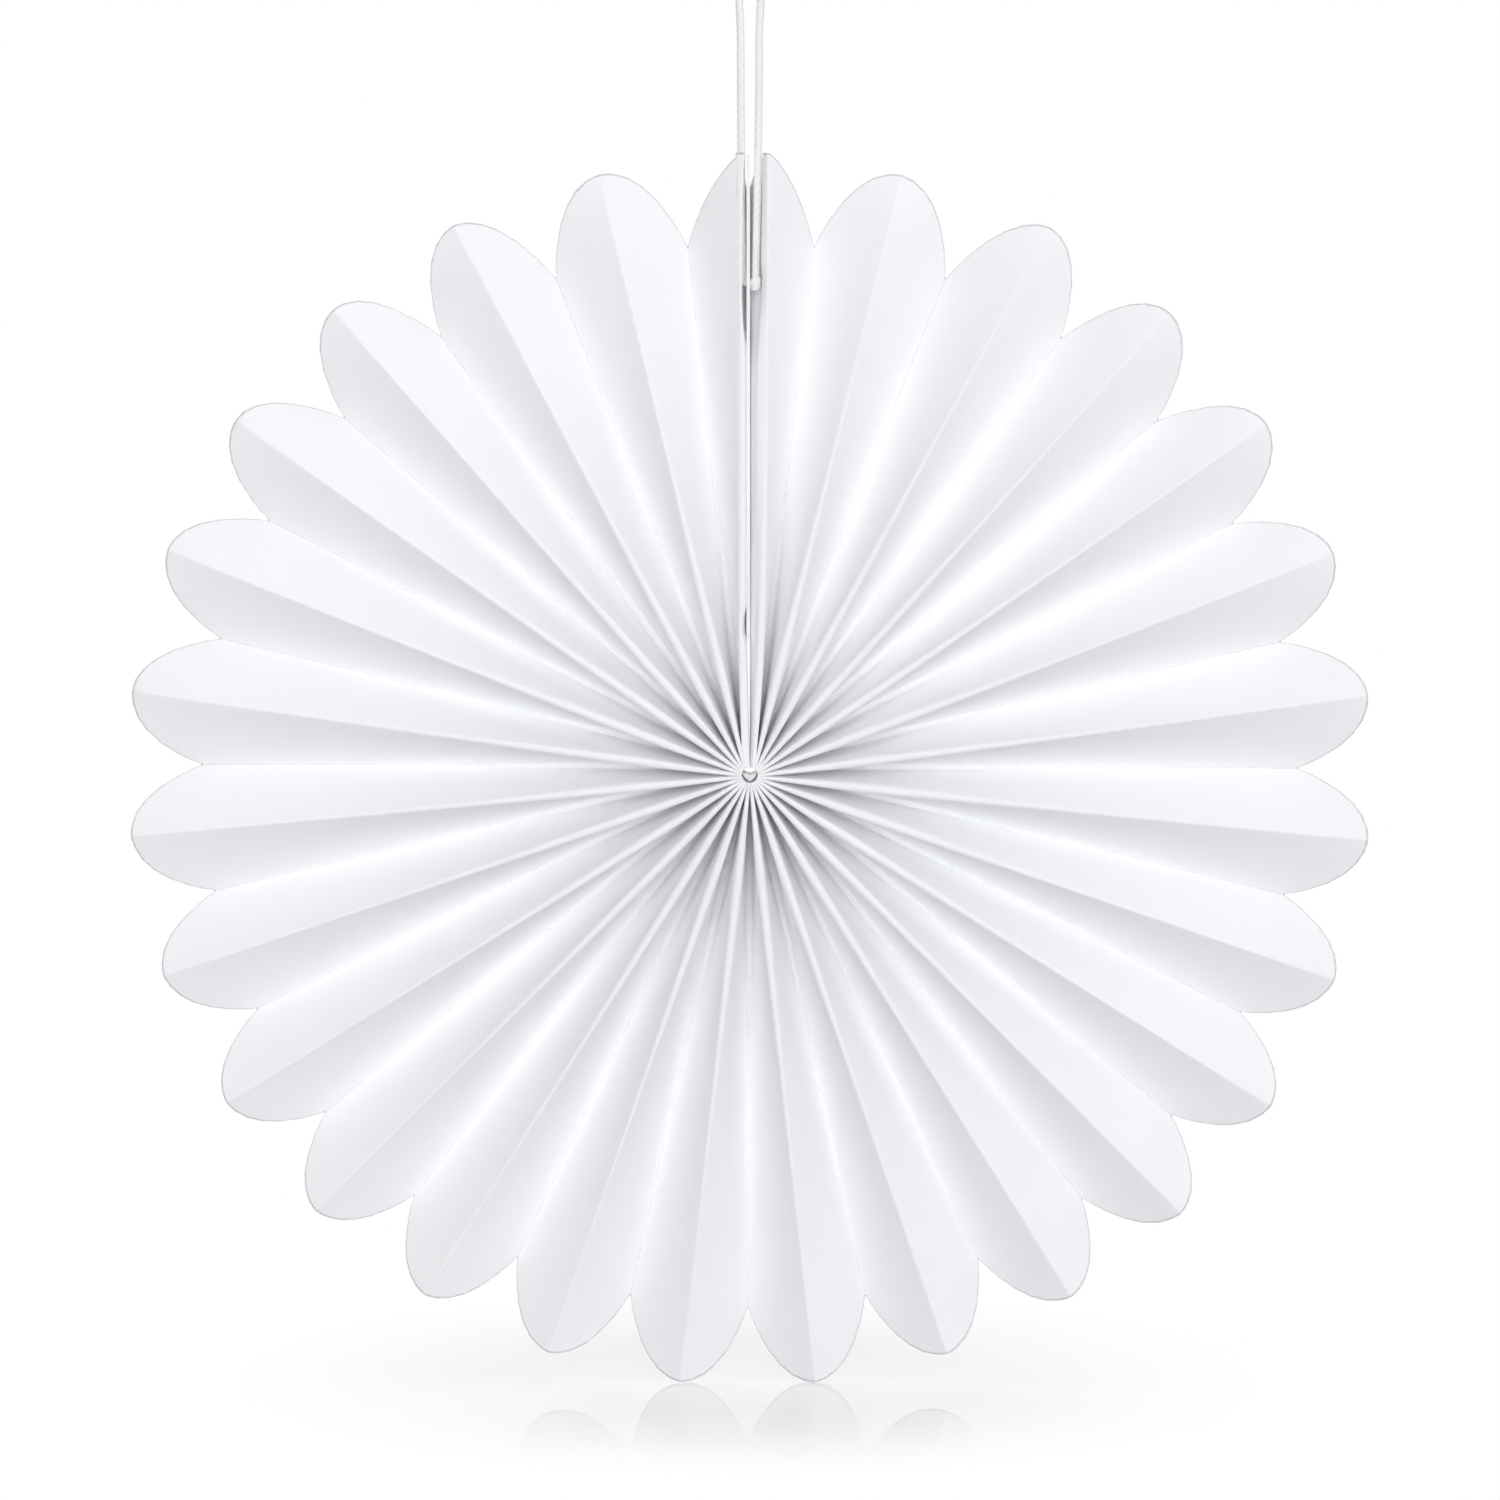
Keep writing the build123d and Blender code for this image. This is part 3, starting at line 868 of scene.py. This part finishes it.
def evenly(line, step):
    length = np.concatenate(([0], np.cumsum(np.linalg.norm(np.diff(line, axis=0), axis=1))))
    places = np.linspace(0, length[-1], max(2, int(round(length[-1] / step)) + 1))
    return np.stack([np.interp(places, length, line[:, i]) for i in range(3)], 1), float(length[-1])


def cordRoute():
    # Up the right strand, over the loop that a hook holds, down the left strand.
    y, half = cord["depth"], cord["gap"] / 2
    return [
        (rightStrand, y, cord["knotHeight"] + cord["knotLength"] / 2 + cord["seat"]),
        (half, y, cord["upright"]),
        (half + cord["loopLean"], y, cord["loopFeet"][0]),
        *[(across, y, up) for across, up in cord["loop"]],
        (-half, y, cord["loopFeet"][1]),
        (-half, y, cord["upright"]),
        (leftStrand, y, cord["knotHeight"] + cordRadius + cord["seat"]),
    ]


def makeCord(yarns):
    route = cordRoute()
    path, length = evenly(splineLine("cordLine", route), cord["ringStep"])
    yarn = dict(cord, radius=cordRadius)
    piece = yarnMesh("hangingCord", path, np.full(len(path), cordRadius), yarn)
    piece.data.materials.append(yarnMaterial("whiteCord", yarns, cord))
    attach(piece, "root")
    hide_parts("hanging_cord")
    print("hanging cord:", round(length, 4), "m long,", len(piece.data.polygons), "faces")
    return piece, path, length, route


knot = {
    "leftTurn": [(0.0, 0.0006), (0.0004, 0.0001), (0.0012, 0.0)],  # across and up from the left strand
    "through": [(0.0, 0.0), (0.0008, -0.0002)],  # across and up, through the strip
    "turnRadius": 0.0009,
    "turns": 2.6,
    "pointsPerTurn": 10,
    "top": (-0.0002, 0.0004),  # the last lap leads back and up to the cord
    "ringStep": 0.00012,
    "foot": (0.0005, 0.0012),  # here along its line it thins to the neck
    "neckEnd": (0.0037, 0.0045),  # and here it gets as thick as its laps
    "lastLap": 0.0012,
    "lastShare": 0.95,
    "own": {"sides": 24, "twist": 0.005, "groove": 0.14, "fibreScale": 6.0, "fibreHeight": 0.00012},
}


def makeKnot(yarns):
    # The cord's lower end: down the left strand's foot, through the strip, and round itself
    # in close turns that fill the slot on the right.
    y, z = cord["depth"], cord["knotHeight"]
    turnRadius, turns = knot["turnRadius"], knot["turns"]
    lapRadius = cord["knotDiameter"] / 2 - turnRadius
    height = cord["knotLength"] / 2 - lapRadius
    line = [(leftStrand, y, z + cordRadius)]
    line += [(leftStrand + across, y, z + up) for across, up in knot["leftTurn"]]
    line += [(across, y, z + up) for across, up in knot["through"]]
    count = int(turns * knot["pointsPerTurn"])
    for i in range(count + 1):
        share = i / count
        a = math.pi + 2 * math.pi * turns * share
        line.append((
            rightStrand + turnRadius * math.cos(a),
            y + turnRadius * math.sin(a),
            z - height + 2 * height * share,
        ))
    back, up = knot["top"]
    line.append((rightStrand, y + back, z + height + up))
    line.append((rightStrand, y, z + cord["knotLength"] / 2))
    path, length = evenly(splineLine("knotLine", line), knot["ringStep"])
    place = np.linspace(0, length, len(path))
    neckRadius = cord["neckDiameter"] / 2
    radii = cordRadius + (neckRadius - cordRadius) * smooth(place, *knot["foot"])
    radii += (lapRadius - neckRadius) * smooth(place, *knot["neckEnd"])
    radii += (cordRadius * knot["lastShare"] - lapRadius) * smooth(place, length - knot["lastLap"], length)
    yarn = dict(cord, radius=cordRadius, **knot["own"])
    piece = yarnMesh("hangingKnot", path, radii, yarn)
    piece.data.materials.append(yarnMaterial("knottedCord", yarns, yarn))
    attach(piece, "root")
    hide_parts("hanging_knot")
    print("hanging knot:", len(piece.data.polygons), "faces")
    return piece


thread = {
    "radius": 0.00025,
    "ring": 0.0045,
    "strands": 2,
    "twist": 0.0016,
    "groove": 0.22,
    "sides": 12,
    "vee": [  # half of one lay of the thread across the eye
        (-0.0021, -0.0112, 0.0004),
        (-0.0017, -0.0120, -0.0003),
        (-0.0009, -0.0122, -0.0011),
        (-0.0001, -0.0123, -0.0018),
    ],
    "lays": [1.0, 0.76, 0.52, 0.28],  # size of each lay against the first
    "layRise": 0.0003,
    "start": (-0.0023, -0.0080, 0.0006),
    "ringSteps": 220,
    "endStep": 0.0002,
    "colour": (0.90, 0.90, 0.90, 1),
    # painted shade between the strands, also the darker fibres
    "fibreToneAndGrooveShade": (0.74, 0.74, 0.75, 1),
    "fibreScale": 5.0,
    "fibreHeight": 0.00004,
}


def makeThread(yarns):
    # A ring through all pleats, and its two ends, which come out into the eye at the front.
    turn = np.linspace(0, 2 * math.pi, thread["ringSteps"], endpoint=False)
    ring = thread["ring"] * np.stack((np.sin(turn), np.zeros_like(turn), np.cos(turn)), 1)
    route = [thread["start"]]
    for i, size in enumerate(thread["lays"]):
        rise = thread["layRise"] * (1 - size)
        half = [(x * size, y, z * size + rise) for x, y, z in thread["vee"]]
        lay = half + [(-x, y, z) for x, y, z in half[::-1]]
        route += lay if i % 2 == 0 else lay[::-1]
    ends, _ = evenly(splineLine("threadEnds", route), thread["endStep"])
    material = yarnMaterial("cottonThread", yarns, thread)
    for name, path, closed in (("drawThread", ring, True), ("threadEnds", ends, False)):
        piece = yarnMesh(name, path, np.full(len(path), thread["radius"]), thread, closed=closed)
        piece.data.materials.append(material)
        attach(piece, "root")
        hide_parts("centre_thread")


# The strip between the end flaps keeps its CAD shape and gets its card surface here.

strip = {
    "colour": (0.935, 0.935, 0.935, 1),
    "shadeColour": (0.90, 0.90, 0.90, 1),
    "plyColour": (0.74, 0.74, 0.75, 1),
    "ply": 0.00025,
    "plyLine": 0.18,  # half a line's width, in plies
    "plyShare": 0.6,
    "edgeFacing": 0.5,  # a surface that faces sideways less than this is the cut edge
    "roughness": 0.82,
    "specular": 0.25,
    "fibreScale": 1100.0,
    "fibreHeight": 0.00006,
    "fibreStrength": 0.4,
    "cloudScale": 90.0,
    "cloud": 0.5,
}


def stripMaterial(fibres):
    # Its cut edge shows the plies of the card, the faces are plain.
    material, place, colour = cardMaterial("stripCard", fibres, strip)
    nodes, links = material.node_tree.nodes, material.node_tree.links
    split = nodes.new("ShaderNodeSeparateXYZ")
    links.new(place, split.inputs[0])
    layers = mathNode(nodes, links, "PINGPONG", split.outputs["X"], strip["ply"] / 2)
    lines = rampMask(nodes, links, layers, strip["ply"] * strip["plyLine"], 0.0)
    facing = nodes.new("ShaderNodeNewGeometry")
    normal = nodes.new("ShaderNodeSeparateXYZ")
    links.new(facing.outputs["True Normal"], normal.inputs[0])
    sideways = mathNode(nodes, links, "ABSOLUTE", normal.outputs["X"])
    onEdge = mathNode(nodes, links, "LESS_THAN", sideways, strip["edgeFacing"])
    share = mathNode(nodes, links, "MULTIPLY", lines, onEdge)
    share = mathNode(nodes, links, "MULTIPLY", share, strip["plyShare"])
    colour = mixColour(nodes, links, share, colour, strip["plyColour"])
    links.new(colour, nodes["Principled BSDF"].inputs["Base Color"])
    return material


def dressStrip(fibres):
    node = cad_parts["joining_strip"]
    node.data.materials.clear()
    node.data.materials.append(stripMaterial(fibres))


# Floor, light and camera

studio = {
    "world": 0.36,
    "lampColour": (0.967, 0.974, 1.0),
    "lightBounces": 12,  # light goes to and fro many times between white folds
    "lamps": [
        # name, turn clockwise from up, rise out of the disc's plane, strength, width in degrees
        ("frontLight", 0.0, 90.0, 2.86, 60.0),
        ("keyLight", 48.0, 20.0, 0.55, 45.0),
        ("backLight", -50.0, -55.0, 1.5, 40.0),
    ],
    "floorSize": 14.0,
    "floorGap": 0.0001,
    "floorColour": (0.5, 0.5, 0.505, 1),
    "floorRoughness": 0.02,
    "floorShine": 0.7,
    "floorLift": 0.28,
    "floorClear": 0.05,  # from this radius outwards the floor turns to plain white
    "floorWhite": 0.175,
}

view = {
    "pitch": 8.0,  # the camera looks down by this
    "distance": 5.0,
    "width": 0.48227,  # what the square picture spans at the hub
    "right": 0.00006,
    "up": 0.0063,
    "sensor": 36.0,
    "clip": (0.1, 100),
}


def makeFloor():
    size = studio["floorSize"] / 2
    low = cadBox[0].z - studio["floorGap"]
    corners = [(-size, -size, low), (size, -size, low), (size, size, low), (-size, size, low)]
    mesh = bpy.data.meshes.new("floor")
    mesh.from_pydata(corners, [], [(0, 1, 2, 3)])
    piece = bpy.data.objects.new("floor", mesh)
    bpy.context.scene.collection.objects.link(piece)
    material, nodes, links, shader = newMaterial("paleFloor")
    shader.inputs["Base Color"].default_value = studio["floorColour"]
    shader.inputs["Roughness"].default_value = studio["floorRoughness"]
    shader.inputs["Specular IOR Level"].default_value = studio["floorShine"]
    seen = seenDirectly(nodes, links)
    lift = nodes.new("ShaderNodeEmission")
    links.new(mathNode(nodes, links, "MULTIPLY", seen, studio["floorLift"]), lift.inputs["Strength"])
    lit = nodes.new("ShaderNodeAddShader")
    links.new(shader.outputs[0], lit.inputs[0])
    links.new(lift.outputs[0], lit.inputs[1])
    white = nodes.new("ShaderNodeEmission")
    distance = nodes.new("ShaderNodeVectorMath")
    distance.operation = "LENGTH"
    links.new(stretched(nodes, links, coordinates(nodes, "Object"), (1, 1, 0)), distance.inputs[0])
    far = rampMask(nodes, links, distance.outputs["Value"], studio["floorClear"], studio["floorWhite"])
    both = nodes.new("ShaderNodeMixShader")
    links.new(mathNode(nodes, links, "MULTIPLY", far, seen), both.inputs[0])
    links.new(lit.outputs[0], both.inputs[1])
    links.new(white.outputs[0], both.inputs[2])
    output = next(n for n in nodes if n.type == "OUTPUT_MATERIAL")
    links.new(both.outputs[0], output.inputs["Surface"])
    piece.data.materials.append(material)


def makeWorld():
    world = bpy.data.worlds.new("softRoom")
    bpy.context.scene.world = world
    world.use_nodes = True
    nodes, links = world.node_tree.nodes, world.node_tree.links
    background = nodes["Background"]
    background.inputs["Color"].default_value = (1.0, 1.0, 1.0, 1)
    background.inputs["Strength"].default_value = studio["world"]
    white = nodes.new("ShaderNodeBackground")
    white.inputs["Strength"].default_value = 1.0
    white.inputs["Color"].default_value = (1.0, 1.0, 1.0, 1)
    seen = seenDirectly(nodes, links)
    both = nodes.new("ShaderNodeMixShader")
    links.new(seen, both.inputs[0])
    links.new(background.outputs[0], both.inputs[1])
    links.new(white.outputs[0], both.inputs[2])
    links.new(both.outputs[0], nodes["World Output"].inputs["Surface"])


def makeLights():
    for name, turn, rise, strength, width in studio["lamps"]:
        turn, rise = math.radians(turn), math.radians(rise)
        towards = Vector((
            math.cos(rise) * math.sin(turn), -math.sin(rise), math.cos(rise) * math.cos(turn)
        ))
        lamp = bpy.data.lights.new(name, "SUN")
        lamp.energy = strength
        lamp.color = studio["lampColour"]
        lamp.angle = math.radians(width)
        holder = bpy.data.objects.new(name, lamp)
        holder.rotation_mode = "QUATERNION"
        holder.rotation_quaternion = towards.to_track_quat("Z", "Y")
        bpy.context.scene.collection.objects.link(holder)
    bpy.context.scene.cycles.diffuse_bounces = studio["lightBounces"]


def makeCamera():
    pitch = math.radians(view["pitch"])
    back = Vector((0, -math.cos(pitch), math.sin(pitch)))
    up = Vector((0, math.sin(pitch), math.cos(pitch)))
    lens = bpy.data.cameras.new("camera")
    lens.sensor_width = view["sensor"]
    lens.lens = view["sensor"] * view["distance"] / view["width"]
    lens.clip_start, lens.clip_end = view["clip"]
    holder = bpy.data.objects.new("camera", lens)
    holder.location = back * view["distance"] + up * view["up"] + Vector((view["right"], 0, 0))
    holder.rotation_mode = "QUATERNION"
    holder.rotation_quaternion = (-back).to_track_quat("-Z", "Y")
    bpy.context.scene.collection.objects.link(holder)
    bpy.context.scene.camera = holder
    bpy.context.scene.view_settings.view_transform = "Standard"


makeCamera()
makeWorld()
makeLights()
makeFloor()
print("studio ready")

paperFibres = makeFibreGroup()
twistedYarn = makeYarnGroup()

cordPiece, cordPath, cordLength, route = makeCord(twistedYarn)
knotPiece = makeKnot(twistedYarn)
makePaper(paperFibres)
makeThread(twistedYarn)
dressStrip(paperFibres)
print("pieces dressed")
